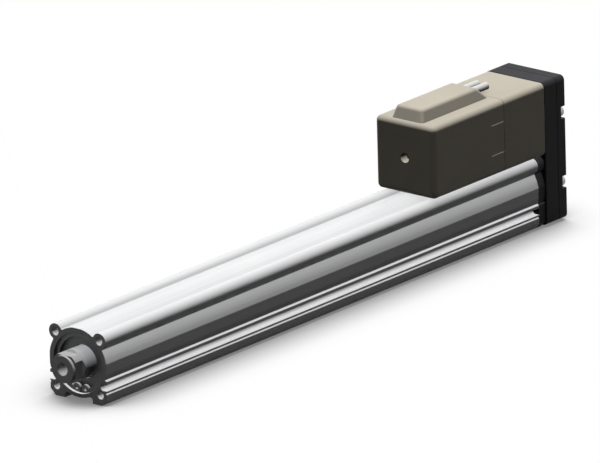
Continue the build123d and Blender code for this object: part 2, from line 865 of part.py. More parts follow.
def motor_front_bell():
    """End bell on the shaft side, with the pilot that centres the motor in its block."""
    front = x_motor_face + bell_length
    bell = bar(motor_outline(), x_motor_face, front)
    bell += rod(pilot_radius, x_motor_face - pilot_length, x_motor_face, motor_axis)
    bell -= bell_pocket(x_motor_face + bell_wall, front + past)
    seat_front = x_motor_face + motor_bearing_width
    bell -= rod(motor_bearing_radius + seat_gap, x_motor_face - pilot_length - past, seat_front, motor_axis)
    bell -= rod(motor_bearing_inner, x_motor_face, front, motor_axis)
    hole_end = x_flange_rear + motor_bolt_sink + motor_bolt_head + motor_bolt_length + end_clearance
    for corner in four_corners(motor_bolt_pitch, motor_axis):
        bell -= rod(motor_bolt_radius + seat_gap, x_motor_face - past, hole_end, corner)
    return bell


def motor_rear_bell():
    rear = x_motor_end - bell_length
    bell = bar(motor_outline(), rear, x_motor_end)
    bell -= bell_pocket(rear - past, x_motor_end - bell_wall)
    seat_rear = x_motor_end - motor_bearing_width
    bell -= rod(motor_bearing_radius + seat_gap, seat_rear, x_motor_end + past, motor_axis)
    return bell - rod(motor_bearing_inner, rear, x_motor_end, motor_axis)


def stator_core():
    """Laminated core with its winding slots, of the motor's full square."""
    outline = motor_outline() - Pos(*motor_axis) * Circle(stator_bore_radius)
    for index in range(coil_count):
        angle = 360 * (index + 0.5) / coil_count
        slot = Pos(stator_bore_radius, 0) * Rectangle(2 * stator_slot_depth, stator_slot_width)
        outline -= Pos(*motor_axis) * Rot(0, 0, angle) * slot
    return bar(outline, x_motor_face + bell_length, x_motor_end - bell_length)


def stator_coils():
    """Coil ends that stand out of both faces of the core."""
    coils = []
    faces = (x_motor_face + bell_length - coil_overhang, x_motor_end - bell_length)
    for rear in faces:
        for index in range(coil_count):
            block = Pos(coil_radius, 0) * Rectangle(coil_height, coil_width)
            placed = Pos(*motor_axis) * Rot(0, 0, 360 * index / coil_count) * block
            coils.append(bar(placed, rear, rear + coil_overhang))
    return coils


def motor_bearing_places():
    return (x_motor_face, x_motor_end - motor_bearing_width)


def motor_bearings():
    inner = motor_bearing_inner + running_gap
    width = motor_bearing_width
    places = motor_bearing_places()
    return [ring(motor_bearing_radius, inner, rear, rear + width, motor_axis) for rear in places]


def motor_shaft():
    shaft = rod(shaft_radius, x_pulley_rear, x_shaft_front, motor_axis)
    for rear in motor_bearing_places():
        shaft += rod(motor_bearing_inner - running_gap, rear, rear + motor_bearing_width, motor_axis)
    shaft -= key_slot(shaft_radius, motor_axis)
    shaft -= retainer_hole(motor_axis)
    hole_end = x_shaft_front - override_bite
    return shaft - rod(override_radius / 2 + seat_gap, hole_end, x_shaft_front + past, motor_axis)


def rotor_core():
    """Rotor with a groove round its middle, between its two stacks."""
    rear = x_motor_face + bell_length + rotor_end_gap
    front = x_motor_end - bell_length - rotor_end_gap
    groove_rear = (rear + front - rotor_groove_width) / 2
    core = ring(rotor_radius, shaft_radius + seat_gap, rear, front, motor_axis)
    groove_floor = rotor_radius - rotor_groove_depth
    groove_front = groove_rear + rotor_groove_width
    return core - ring(rotor_radius + past, groove_floor, groove_rear, groove_front, motor_axis)


def motor_mount_screws():
    screws = []
    head_end = x_flange_rear + motor_bolt_sink
    seat = head_end + motor_bolt_head
    for corner in four_corners(motor_bolt_pitch, motor_axis):
        head = rod(motor_bolt_head_radius, head_end, seat, corner)
        hexagon = Pos(*corner) * RegularPolygon(motor_hex_radius, 6)
        head -= bar(hexagon, head_end - past, head_end + motor_hex_depth)
        screws.append(head + rod(motor_bolt_radius, seat, seat + motor_bolt_length, corner))
    return screws


def encoder_disc():
    front = x_encoder_disc + encoder_disc_thickness
    return ring(encoder_disc_radius, shaft_radius + seat_gap, x_encoder_disc, front, motor_axis)


def encoder_board():
    outline = RectangleRounded(board_width, board_width, inner_corner) - Circle(board_hole_radius)
    return bar(Pos(*motor_axis) * outline, x_board, x_board + board_thickness)


def encoder_standoffs():
    """Hexagonal posts between the motor's end bell and the board."""
    hexagon = RegularPolygon(standoff_radius, 6)
    corners = four_corners(standoff_pitch, motor_axis)
    return [bar(Pos(*corner) * hexagon, x_motor_end, x_board) for corner in corners]


def override_screw():
    """Manual screw on the free end of the motor's shaft, reached through the hole in the cover."""
    front = x_shaft_front + override_length
    head = rod(override_radius, x_shaft_front, front, motor_axis)
    slot = Pos(*motor_axis) * Rectangle(2 * (override_radius + past), override_slot)
    head -= bar(slot, front - override_slot_depth, front + past)
    shank_end = x_shaft_front - override_bite + end_clearance
    return head + rod(override_radius / 2, shank_end, x_shaft_front, motor_axis)


# Motor cover and its cable outlet
def hump(inset=0.0):
    """Raised cable outlet: sloped sides, a raked front and a slanted rear end."""
    cover_top = motor_axis_z + cover_half_height
    depth = cover_wall + hump_root
    low_z = cover_top - depth
    high_z = cover_top + hump_height - inset
    rise = high_z - low_z
    side_slope = (hump_base_half - hump_top_half) / hump_height
    front_slope = hump_front_rake / hump_height
    rear_slope = hump_rear_rake / hump_height
    low_half = hump_base_half + side_slope * depth - inset
    top_half = low_half - side_slope * rise
    section = [(-low_half, low_z), (low_half, low_z), (top_half, high_z), (-top_half, high_z)]
    low_front = x_motor_cover_front - hump_setback - inset + front_slope * depth
    low_rear = x_joint + hump_rear_setback + inset - rear_slope * depth
    side = [(low_front, low_z), (low_front - front_slope * rise, high_z)]
    side += [(low_rear + rear_slope * rise, high_z), (low_rear, low_z)]
    length = bar(make_face(Polyline(section, close=True)), low_rear - past, low_front + past)
    profile = extrude(Plane.XZ * make_face(Polyline(side, close=True)), low_half + past, both=True)
    shape = length & profile
    raised = [edge for edge in shape.edges() if edge.center().Z > low_z + past]
    shape = fillet(raised, max(hump_inner_fillet, hump_fillet - inset))
    ahead = Pos(0, cover_top) * Rectangle(4 * low_half, 4 * rise)
    return shape & bar(ahead, x_joint, low_front + past)


def cable_places():
    height = motor_axis_z + cover_half_height + cable_height
    return [(-cable_pitch / 2, height), (cable_pitch / 2, height)]


def cable_ends():
    rear = x_joint - cable_end
    return rear, rear + cable_inner


def grommet_outline(gap=0.0):
    width = cable_pitch + 2 * (cable_radius + grommet_margin + gap)
    height = 2 * (cable_radius + grommet_margin + gap)
    place = Pos(0, motor_axis_z + cover_half_height + cable_height)
    return place * RectangleRounded(width, height, cable_radius)


def cable_grommet():
    """Rubber plug in the slanted rear end of the hump, with a hole for each cable."""
    front = x_joint + grommet_length
    plug = bar(grommet_outline(), x_joint, front) & hump()
    for place in cable_places():
        plug -= rod(cable_radius + seat_gap, x_joint - past, front + past, place)
    return plug


def cable_clamp():
    """Block on the motor's end bell that grips both cables inside the hump."""
    rear, cables_front = cable_ends()
    front = cables_front - clamp_setback
    low = motor_axis_z + motor_width / 2
    high = motor_axis_z + cover_half_height + hump_height - hump_wall - motor_clearance
    outline = Pos(0, (low + high) / 2) * Rectangle(clamp_width, high - low)
    block = bar(outline, front - clamp_length, front)
    for place in cable_places():
        block -= rod(cable_radius + seat_gap, rear, cables_front + past, place)
    return block


def motor_cover():
    outer = eased(bar(cover_outline(), x_joint, x_motor_cover_front), -1)
    front_rim = outer.faces().sort_by(Axis.X)[-1].edges()
    outer = fillet(front_rim, min(cover_front_fillet, cover_corner - seat_gap))
    shell = outer + hump()
    inside_front = x_motor_cover_front - cover_wall
    boss_rear = inside_front - access_boss_length
    shell -= bar(cover_outline(cover_wall, inner_corner), x_joint - past, inside_front)
    shell -= hump(hump_wall)
    shell += rod(access_boss_radius, boss_rear, x_motor_cover_front - cover_wall / 2, motor_axis)
    shell -= rod(access_hole_radius, boss_rear - past, x_motor_cover_front + past, motor_axis)
    shell -= bar(grommet_outline(seat_gap), x_joint - past, x_joint + grommet_length)
    for z in (motor_axis_z - tab_half_width, motor_axis_z + tab_half_width):
        slit = Rectangle(2 * cover_wall, tab_slit)
        place = Pos(cover_width / 2, z)
        shell -= both_sides(bar(place * slit, x_joint - past, x_joint + tab_length))
    return shell + tongue()


def build_all():
    keep("body_tube", body_tube())
    keep("retaining_ring", retaining_ring())
    keep("rod_cover", rod_cover())
    keep("rod_scraper", rod_scraper())
    keep("rod_bushing", rod_bushing())
    keep("front_bumper", front_bumper())
    keep("bearing_housing", bearing_housing())
    keep("bearing_outer_ring", bearing_outer_ring())
    keep("bearing_balls", *bearing_ball_set())
    keep("bearing_stopper", bearing_stopper())
    keep("housing_bolts", *housing_bolts())
    keep("return_box", return_box())
    keep("return_plate", return_plate())
    keep("plate_screws", *plate_screws())
    keep("timing_belt", timing_belt())
    keep("motor_block", motor_block())
    keep("motor_cover", motor_cover())
    keep("cable_grommet", cable_grommet())
    keep("cable_clamp", cable_clamp())
    cable_rear, cable_front = cable_ends()
    far_cable, near_cable = cable_places()
    keep("motor_cable", rod(cable_radius, cable_rear, cable_front, near_cable))
    keep("encoder_cable", rod(cable_radius, cable_rear, cable_front, far_cable))
    keep("motor_front_bell", motor_front_bell())
    keep("motor_rear_bell", motor_rear_bell())
    keep("stator_core", stator_core())
    keep("stator_coils", *stator_coils())
    keep("motor_bearings", *motor_bearings())
    keep("motor_mount_screws", *motor_mount_screws())
    keep("encoder_board", encoder_board())
    keep("encoder_standoffs", *encoder_standoffs())
    keep("piston_rod", piston_rod())
    keep("rod_socket", rod_socket())
    keep("piston", piston())
    keep("magnet_ring", magnet_ring())
    keep("ball_nut", ball_nut())
    keep("rotation_stopper", rotation_stopper())
    keep("wear_ring_holder", wear_ring_holder())
    keep("wear_ring", wear_ring())
    keep("ball_screw", ball_screw())
    keep("screw_end_ring", screw_end_ring())
    keep("bearing_inner_ring", bearing_inner_ring())
    keep("lock_nut", lock_nut())
    keep("screw_pulley", pulley(rod_axis, shaft_end_radius))
    keep("screw_pulley_key", pulley_key(shaft_end_radius, rod_axis))
    keep("screw_pulley_retainer", pulley_retainer(rod_axis, shaft_end_radius))
    keep("motor_shaft", motor_shaft())
    keep("rotor_core", rotor_core())
    keep("motor_pulley", pulley(motor_axis, shaft_radius))
    keep("motor_pulley_key", pulley_key(shaft_radius, motor_axis))
    keep("motor_pulley_retainer", pulley_retainer(motor_axis, shaft_radius))
    keep("encoder_disc", encoder_disc())
    keep("override_screw", override_screw())


build_all()
os.makedirs("parts", exist_ok=True)
for node, shape in nodes.items():
    export_step(shape, f"parts/{node}.step")
print(f"{len(nodes)} pieces, body {body_length:.1f} mm, overall {rod_tip - x_plate_rear:.1f} mm")
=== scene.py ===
# %% [markdown]
# An electric cylinder for the studio. The long body is an aluminium extrusion, the motor sits above
# its rear end in a painted cover, and a black box at the rear holds the belt drive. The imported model
# gives every solid piece at its real place, so this lesson adds what a solid can't show: the finish of
# each surface, the screw threads in the open holes, and the cut ends of the cables.

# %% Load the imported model
import json
import math

import bmesh
import bpy
from mathutils import Matrix, Vector


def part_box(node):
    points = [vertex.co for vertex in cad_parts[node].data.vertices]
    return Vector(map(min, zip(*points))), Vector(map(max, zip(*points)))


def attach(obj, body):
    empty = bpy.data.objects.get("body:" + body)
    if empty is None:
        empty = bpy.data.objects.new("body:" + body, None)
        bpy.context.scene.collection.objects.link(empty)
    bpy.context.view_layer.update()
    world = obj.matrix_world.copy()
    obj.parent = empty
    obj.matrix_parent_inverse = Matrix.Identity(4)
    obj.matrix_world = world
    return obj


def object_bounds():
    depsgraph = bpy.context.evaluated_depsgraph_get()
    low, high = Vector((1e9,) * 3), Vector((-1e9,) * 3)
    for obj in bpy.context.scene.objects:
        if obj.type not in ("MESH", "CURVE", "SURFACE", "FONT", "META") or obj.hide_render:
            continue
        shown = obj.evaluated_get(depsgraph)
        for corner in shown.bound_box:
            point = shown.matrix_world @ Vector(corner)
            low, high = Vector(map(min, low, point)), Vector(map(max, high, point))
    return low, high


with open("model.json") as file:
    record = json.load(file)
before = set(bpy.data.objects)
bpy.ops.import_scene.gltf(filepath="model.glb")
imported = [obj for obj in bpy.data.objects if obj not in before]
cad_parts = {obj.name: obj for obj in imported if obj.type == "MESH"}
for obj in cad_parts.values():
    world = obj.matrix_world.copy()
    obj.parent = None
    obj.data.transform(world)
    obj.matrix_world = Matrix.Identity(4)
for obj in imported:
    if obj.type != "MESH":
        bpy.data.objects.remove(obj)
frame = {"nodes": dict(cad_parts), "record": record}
cad_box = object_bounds()
nodes = frame["nodes"]
print("pieces in the model:", len(nodes))

# %% [markdown]
# Sizes are written in millimetres, because that is how a maker measures, and turned to metres here.
# Places that depend on a piece are read from the model, so that nothing has to be fitted afterwards.

# %% Units and places
MM = 0.001
along_x = Vector((1, 0, 0))
along_y = Vector((0, 1, 0))
along_z = Vector((0, 0, 1))


def in_mm(box):
    """Both corners of a box that is in metres, in millimetres to a tenth."""
    return [[round(value / MM, 1) for value in corner] for corner in box]


def middle(name):
    """Middle of a piece of the model, in metres."""
    low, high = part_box(name)
    return (low + high) / 2


mounts = {mount["name"]: mount for mount in frame["record"]["mounts"]}
rod_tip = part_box("rod_socket")[1].x
floor_height = cad_box[0].z
motor_centre = middle("rotor_core")
print("model box in mm:", in_mm(cad_box))
print("rod tip at", round(rod_tip / MM, 2), "mm, floor at", round(floor_height / MM, 2), "mm")
print("motor's axis at", round(motor_centre.z / MM, 2), "mm")
print("places where it is bolted to something:", sorted(mounts))

# %% [markdown]
# A colour is chosen on a screen, as an sRGB hex value. Blender works with linear light, so one
# function turns the one into the other, by the formula of the sRGB standard.

# %% Colours
def srgb(code):
    """Linear colour from a hex code such as 'd3ccbc'."""
    linear = []
    for start in (0, 2, 4):
        value = int(code[start:start + 2], 16) / 255
        linear.append(value / 12.92 if value <= 0.04045 else ((value + 0.055) / 1.055) ** 2.4)
    return (*linear, 1.0)


print("a mid grey of 808080 is", round(srgb("808080")[0], 3), "in linear light")

# %% [markdown]
# Every finish is a small tree of nodes. One helper adds a node, sets its properties and its sockets,
# and links what comes in, so that a finish reads as a list of what it is made of.

# %% Node helper
def add_node(tree, kind, inputs=None, links=None, **properties):
    """Adds one node. inputs sets socket values, and links joins sockets to other nodes' outputs."""
    made = tree.nodes.new(kind)
    for name, value in properties.items():
        setattr(made, name, value)
    for name, value in (inputs or {}).items():
        made.inputs[name].default_value = value
    for name, source in (links or {}).items():
        tree.links.new(source, made.inputs[name])
    return made


def new_material(name):
    """Material with an empty tree."""
    material = bpy.data.materials.new(name)
    material.use_nodes = True
    material.node_tree.nodes.clear()
    return material, material.node_tree


def finish_material(tree, shader):
    """Shows the shader on the material's surface."""
    add_node(tree, "ShaderNodeOutputMaterial", links={"Surface": shader.outputs[0]})


# %% [markdown]
# Patterns are sized in real millimetres. Object coordinates are in metres and stay put on a piece when
# it moves, so a Mapping node turns them into pattern cells: one cell per grain, streak or ring. Noise
# serves for all three, because no real surface repeats as a wave or a checker does.

# %% Pattern building blocks
plain_detail = 1.0
soft_detail = 2.0
fine_detail = 3.0


def cells(tree, size_mm, centre=(0, 0, 0)):
    """Coordinates counted in cells of the given size along X, Y and Z."""
    coordinate = add_node(tree, "ShaderNodeTexCoord")
    scale = [1 / (size * MM) for size in size_mm]
    shift = [-place * factor for place, factor in zip(centre, scale)]
    mapping = add_node(
        tree, "ShaderNodeMapping",
        inputs={"Scale": scale, "Location": shift}, links={"Vector": coordinate.outputs["Object"]},
    )
    return mapping.outputs["Vector"]


def grain(tree, size_mm, detail=soft_detail):
    """Noise whose cells have a real size."""
    noise = add_node(
        tree, "ShaderNodeTexNoise",
        inputs={"Scale": 1.0, "Detail": detail}, links={"Vector": cells(tree, size_mm)},
    )
    return noise.outputs["Fac"]


def turned_rings(tree, pitch_mm, centre):
    """Fine rings about the X axis: by radius on a faced end, and by X along a barrel."""
    split = add_node(tree, "ShaderNodeSeparateXYZ", links={"Vector": cells(tree, (1, 1, 1), centre)})
    across = add_node(
        tree, "ShaderNodeCombineXYZ", links={"Y": split.outputs["Y"], "Z": split.outputs["Z"]},
    )
    radius = add_node(tree, "ShaderNodeVectorMath", operation="LENGTH", links={"Vector": across.outputs[0]})
    place = add_node(
        tree, "ShaderNodeMath", operation="ADD",
        links={0: radius.outputs["Value"], 1: split.outputs["X"]},
    )
    rings = add_node(
        tree, "ShaderNodeTexNoise", noise_dimensions="1D",
        inputs={"Scale": 1 / pitch_mm, "Detail": fine_detail}, links={"W": place.outputs[0]},
    )
    return rings.outputs["Fac"]


print("a pattern with cells of 1 mm has", round(1 / MM), "cells to a metre")

# %% [markdown]
# A noise pattern mostly runs from 0.3 to 0.7. These helpers turn that range into a roughness, a drift
# between two tones, or a relief of a real depth, and paint shade into the colour of narrow gaps.
# The Bevel node rounds the shading at sharp edges, so no face has to be added to the model's pieces.

# %% From pattern to surface
pattern_low = 0.3
pattern_high = 0.7
gap_closed = 0.35
gap_open = 0.9
gap_samples = 6
edge_samples = 4


def spread(tree, value, low, high):
    """Turns a pattern's usual range into a number from low to high."""
    made = add_node(
        tree, "ShaderNodeMapRange",
        inputs={"From Min": pattern_low, "From Max": pattern_high, "To Min": low, "To Max": high},
        links={"Value": value},
    )
    return made.outputs["Result"]


def two_tones(tree, value, dark, light):
    """Colour that drifts between two tones as the pattern does."""
    ramp = add_node(tree, "ShaderNodeValToRGB", links={"Fac": value})
    first, last = ramp.color_ramp.elements
    first.position = pattern_low
    first.color = srgb(dark)
    last.position = pattern_high
    last.color = srgb(light)
    return ramp.outputs["Color"]


# The shade in narrow gaps is painted into the base colour by the AO node; no lamp casts it.
def paint_shade_in_gaps(tree, colour, reach_mm, share):
    """Paints shade: darkens the colour by the given share where another surface stands within reach."""
    openness = add_node(
        tree, "ShaderNodeAmbientOcclusion", samples=gap_samples, inputs={"Distance": reach_mm * MM},
    )
    keep = add_node(
        tree, "ShaderNodeMapRange",
        inputs={"From Min": gap_closed, "From Max": gap_open, "To Min": 1 - share, "To Max": 1.0},
        links={"Value": openness.outputs["AO"]},
    )
    shaded = add_node(
        tree, "ShaderNodeVectorMath", operation="SCALE",
        links={"Vector": colour, "Scale": keep.outputs["Result"]},
    )
    return shaded.outputs["Vector"]


def relief(tree, height, depth_mm, edge_mm):
    """Bump of a real depth, over edges that are broken by a small radius."""
    edge = add_node(tree, "ShaderNodeBevel", samples=edge_samples, inputs={"Radius": edge_mm * MM})
    bump = add_node(
        tree, "ShaderNodeBump", inputs={"Strength": 1.0, "Distance": depth_mm * MM},
        links={"Height": height, "Normal": edge.outputs["Normal"]},
    )
    return bump.outputs["Normal"]


def dress(material, *names):
    """Gives one material to the model's own pieces."""
    for name in names:
        mesh = nodes[name].data
        mesh.materials.clear()
        mesh.materials.append(material)
    print(material.name, "on", len(names), "pieces")


print("a pattern's usual range is", pattern_low, "to", pattern_high)

# %% [markdown]
# The body is clear anodised aluminium, extruded through a die. The die leaves faint streaks along the
# whole length, and the oxide layer scatters light, so it looks like a bright satin white more than a
# mirror, and little of the metal's own reflection is left. Streaks on the real body are about 0.1 mm
# wide. They are drawn 0.7 mm wide so that they show. The rod cover, the piston and the pulleys are
# turned from the same metal. They are a shade greyer, with an even grain in place of streaks.

# %% Clear anodised aluminium
cloud_size = (60, 25, 25)
cloud_share = 0.35
oxide_shine = 0.1
streak_depth = 0.004
aluminium_edge = 0.25


def anodised_aluminium(name, streak_mm, tones, roughness, metallic):
    """Satin oxide with streaks, over wide clouds where the layer is thicker."""
    material, tree = new_material(name)
    streaks = grain(tree, streak_mm, fine_detail)
    clouds = grain(tree, cloud_size)
    both = add_node(
        tree, "ShaderNodeMix", data_type="FLOAT",
        inputs={"Factor": cloud_share}, links={"A": streaks, "B": clouds},
    )
    shader = add_node(
        tree, "ShaderNodeBsdfPrincipled",
        inputs={"Metallic": metallic, "Specular IOR Level": oxide_shine},
        links={
            "Base Color": two_tones(tree, both.outputs[0], *tones),
            "Roughness": spread(tree, streaks, *roughness),
            "Normal": relief(tree, streaks, streak_depth, aluminium_edge),
        },
    )
    finish_material(tree, shader)
    return material


extruded = anodised_aluminium(
    "clear_anodised_extrusion", streak_mm=(300, 0.7, 0.7), tones=("ecedee", "fafafb"),
    roughness=(0.34, 0.46), metallic=0.01,
)
turned_aluminium = anodised_aluminium(
    "clear_anodised_turned", streak_mm=(0.5, 0.5, 0.5), tones=("d6d7d9", "e8e9ea"),
    roughness=(0.36, 0.48), metallic=0.05,
)
dress(extruded, "body_tube")
dress(turned_aluminium, "rod_cover", "piston", "screw_pulley", "motor_pulley")

# %% [markdown]
# The motor cover and the block behind it are painted a warm light grey, and the belt box and the
# flange in front of it a satin black. Spray paint dries with a very fine orange peel: low waves about
# 1 mm apart, which soften the highlights along edges. Where one piece meets another in a corner, the
# colour is darkened there as painted shade, as far as 0.9 mm from it.

# %% Painted castings
drift_size = (40, 40, 40)
peel_depth = 0.012
casting_edge = 0.3
# How far the painted shade in corners reaches, in mm, and how much it darkens the paint.
gap_reach = 0.9
painted_gap_shade = 0.75


def spray_paint(name, tones, roughness, peel_mm, shine):
    """Satin paint with an orange peel, and with shade painted into its corners."""
    material, tree = new_material(name)
    peel = grain(tree, (peel_mm, peel_mm, peel_mm))
    colour = two_tones(tree, grain(tree, drift_size), *tones)
    shader = add_node(
        tree, "ShaderNodeBsdfPrincipled",
        inputs={"Metallic": 0.0, "Specular IOR Level": shine},
        links={
            "Base Color": paint_shade_in_gaps(tree, colour, gap_reach, painted_gap_shade),
            "Roughness": spread(tree, peel, *roughness),
            "Normal": relief(tree, peel, peel_depth, casting_edge),
        },
    )
    finish_material(tree, shader)
    return material


cover_paint = spray_paint(
    "warm_grey_satin_paint", tones=("c6bfaf", "ccc5b5"), roughness=(0.48, 0.58), peel_mm=1.1, shine=0.12,
)
black_paint = spray_paint(
    "black_satin_paint", tones=("333336", "3a3a3d"), roughness=(0.42, 0.54), peel_mm=0.9, shine=0.05,
)
dress(cover_paint, "motor_cover", "motor_block")
dress(black_paint, "return_box", "return_plate", "bearing_housing")

# %% [markdown]
# Steel parts differ by how they were cut. A lathe leaves rings about 0.1 mm apart, drawn here about
# 0.5 mm apart so that they show. Grooves in the mesh would take thousands of faces, so the rings are
# a noise that runs with the radius.

# %% Turned metal
steel_shine = 0.2
steel_edge = 0.15


def turned_steel(name, tones, metallic, roughness, ring_mm, depth_mm, centre=(0, 0, 0)):
    """Metal that was turned about an axis along X through the centre."""
    material, tree = new_material(name)
    rings = turned_rings(tree, ring_mm, centre)
    shader = add_node(
        tree, "ShaderNodeBsdfPrincipled",
        inputs={"Metallic": metallic, "Specular IOR Level": steel_shine},
        links={
            "Base Color": two_tones(tree, rings, *tones),
            "Roughness": spread(tree, rings, *roughness),
            "Normal": relief(tree, rings, depth_mm, steel_edge),
        },
    )
    finish_material(tree, shader)
    return material


print("turned metals have rings, and edges broken by", steel_edge, "mm")

# %% [markdown]
# In these white surroundings a bare mirror would be white on every side, and the photograph shows the
# outer steels as matt. Their metallic value is low for that reason. The steels of the bearings, the
# ball screw, the bolts and the motor are hidden, and have the full value of a bare metal.

# %% Steel finishes
# Hard chrome, ground after plating: the smoothest grey here, with the sharpest highlight.
hard_chrome = turned_steel(
    "hard_chromed_rod", ("bcbec1", "cacccf"), metallic=0.12, roughness=(0.16, 0.26),
    ring_mm=0.5, depth_mm=0.002,
)
# Stainless steel, turned and milled: a neutral grey whose rings blur the highlight.
turned_socket = turned_steel(
    "turned_stainless_steel", ("b4b4b5", "c8c8c9"), metallic=0.02, roughness=(0.34, 0.46),
    ring_mm=0.45, depth_mm=0.004,
)
# Zinc plate on small steel parts: bright and a little blue, with a soft highlight.
plated_screw = turned_steel(
    "zinc_plated_screws", ("c9cbcd", "dfe0e2"), metallic=0.3, roughness=(0.25, 0.38),
    ring_mm=0.4, depth_mm=0.005,
)
# Spring steel, stamped and oiled: a soft grey with a dull sheen.
spring_steel = turned_steel(
    "oiled_spring_steel", ("bcbdbf", "cccdcf"), metallic=0.06, roughness=(0.35, 0.5),
    ring_mm=0.6, depth_mm=0.004,
)
# Bearing steel, hardened and ground: a clear metal with a tight highlight.
bearing_steel = turned_steel(
    "ground_bearing_steel", ("b4b6b9", "c8cacd"), metallic=1.0, roughness=(0.18, 0.28),
    ring_mm=0.5, depth_mm=0.002,
)
# Black oxide on alloy steel: dark grey, with the metal only just showing through.
black_oxide = turned_steel(
    "black_oxide_steel", ("4a4b4d", "5c5d5f"), metallic=1.0, roughness=(0.35, 0.5),
    ring_mm=0.6, depth_mm=0.004,
)
# The motor's steel is bare: a clear metal with rings about the motor's own axis.
motor_steel = turned_steel(
    "turned_motor_steel", ("a8a9ab", "c0c1c3"), metallic=1.0, roughness=(0.25, 0.38),
    ring_mm=0.5, depth_mm=0.004, centre=tuple(motor_centre),
)
dress(hard_chrome, "piston_rod")
dress(turned_socket, "rod_socket")
dress(plated_screw, "plate_screws", "screw_pulley_key", "screw_pulley_retainer", "bearing_stopper")
dress(bearing_steel, "ball_screw", "ball_nut", "bearing_inner_ring", "bearing_outer_ring", "bearing_balls")
dress(spring_steel, "retaining_ring")
dress(black_oxide, "housing_bolts", "lock_nut")
dress(motor_steel, "motor_shaft", "motor_bearings", "motor_front_bell", "motor_rear_bell")
dress(motor_steel, "motor_mount_screws", "motor_pulley_key", "motor_pulley_retainer")
dress(motor_steel, "override_screw", "encoder_standoffs")

# %% [markdown]
# The motor's cores are stacks of thin stamped sheets, so their sides show fine layers along the shaft.
# Each sheet is 0.5 mm thick. Modelled sheets would only be hidden inside, so the layers are a noise
# that is thin along X and wide across it. The same tree serves the sintered magnet, with grains in
# place of layers.

# %% Stacked laminations and sintered magnet
core_metallic = 0.8
layer_depth = 0.03
layer_edge = 0.1


def layered_steel(name, tones, layer_mm, roughness):
    """Dull metal in layers or grains of the given size."""
    material, tree = new_material(name)
    layers = grain(tree, layer_mm, plain_detail)
    shader = add_node(
        tree, "ShaderNodeBsdfPrincipled",
        inputs={"Metallic": core_metallic},
        links={
            "Base Color": two_tones(tree, layers, *tones),
            "Roughness": spread(tree, layers, *roughness),
            "Normal": relief(tree, layers, layer_depth, layer_edge),
        },
    )
    finish_material(tree, shader)
    return material


laminations = layered_steel("stacked_laminations", ("5d5f62", "83868a"), (0.5, 30, 30), (0.35, 0.5))
magnet = layered_steel("sintered_magnet", ("2d2d2f", "414143"), (0.4, 0.4, 0.4), (0.4, 0.6))
dress(laminations, "stator_core", "rotor_core")
dress(magnet, "magnet_ring")

# %% [markdown]
# Rubber, nylon, cable sheath, circuit board, bronze bush and enamelled wire don't shine like bare
# metal. They differ in colour, in the size of their grain and in how rough they are, so one function
# makes them and each call says what the piece really is. Their real grain is finer than 0.1 mm, and
# is drawn 0.3 to 0.9 mm wide so that it shows.

# %% Surfaces without a metal's mirror
plastic_shine = 0.3
plastic_edge = 0.15


def moulded(name, tones, roughness, grain_mm, depth_mm):
    """Surface with a fine even grain and a low, colourless shine."""
    material, tree = new_material(name)
    texture = grain(tree, (grain_mm, grain_mm, grain_mm), fine_detail)
    shader = add_node(
        tree, "ShaderNodeBsdfPrincipled",
        inputs={"Metallic": 0.0, "Specular IOR Level": plastic_shine},
        links={
            "Base Color": two_tones(tree, texture, *tones),
            "Roughness": spread(tree, texture, *roughness),
            "Normal": relief(tree, texture, depth_mm, plastic_edge),
        },
    )
    finish_material(tree, shader)
    return material


print("even grains have edges broken by", plastic_edge, "mm")

# %% [markdown]
# The rod's seal, the belt, the bumper and the cable's plug are rubber. The guides and the cable clamp
# are nylon, and the bush that carries the rod is bronze with oil in its pores.

# %% Plastics, rubber and bronze
# Nitrile rubber, moulded: nearly black, and so rough that it hardly shines.
rubber = moulded("black_nitrile_rubber", ("1c1c1d", "28282a"), (0.6, 0.75), grain_mm=0.5, depth_mm=0.02)
# Nylon without dye: ivory, with a soft sheen.
nylon = moulded("natural_nylon", ("cfcab9", "dedacb"), (0.4, 0.55), grain_mm=0.8, depth_mm=0.01)
# Extruded cable sheath: a clean, slightly waxy white.
cable_sheath = moulded("white_cable_sheath", ("e6e6e4", "f2f2f0"), (0.45, 0.6), grain_mm=0.9, depth_mm=0.01)
# Bronze powder, pressed and sintered full of oil: brown, dull and grainy.
bronze = moulded("sintered_bronze", ("7d6440", "93764c"), (0.45, 0.6), grain_mm=0.3, depth_mm=0.02)
# Circuit board under green solder mask: smooth and glossy.
board_green = moulded("green_circuit_board", ("1f4a30", "2c5f3f"), (0.3, 0.4), grain_mm=0.6, depth_mm=0.005)
# Copper wire in its enamel: reddish brown and glossy. The deep grain stands for the wound strands.
enamelled_wire = moulded(
    "enamelled_copper_wire", ("8a4a28", "a85f36"), (0.25, 0.35), grain_mm=0.4, depth_mm=0.05,
)
dress(rubber, "rod_scraper", "front_bumper", "timing_belt", "cable_grommet")
dress(nylon, "rotation_stopper", "wear_ring_holder", "wear_ring", "screw_end_ring")
dress(nylon, "cable_clamp", "encoder_disc")
dress(cable_sheath, "motor_cable", "encoder_cable")
dress(bronze, "rod_bushing")
dress(board_green, "encoder_board")
dress(enamelled_wire, "stator_coils")

# %% [markdown]
# New pieces are small, and each one rides on the body that carries it. Its object stays at the origin
# and its place is in its mesh, as it is for the model's own pieces, so that patterns don't slide. An
# edge that doesn't join exactly two faces would be a hole or a stray, so such edges are counted.

# %% Finishing a new piece
def finish_piece(name, built, body, material):
    """Makes the bmesh an object that rides on a body."""
    open_edges = sum(1 for edge in built.edges if len(edge.link_faces) != 2)
    mesh = bpy.data.meshes.new(name)
    built.to_mesh(mesh)
    built.free()
    mesh.materials.append(material)
    piece = bpy.data.objects.new(name, mesh)
    bpy.context.scene.collection.objects.link(piece)
    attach(piece, body)
    print(name, "faces:", len(mesh.polygons), "open edges:", open_edges)


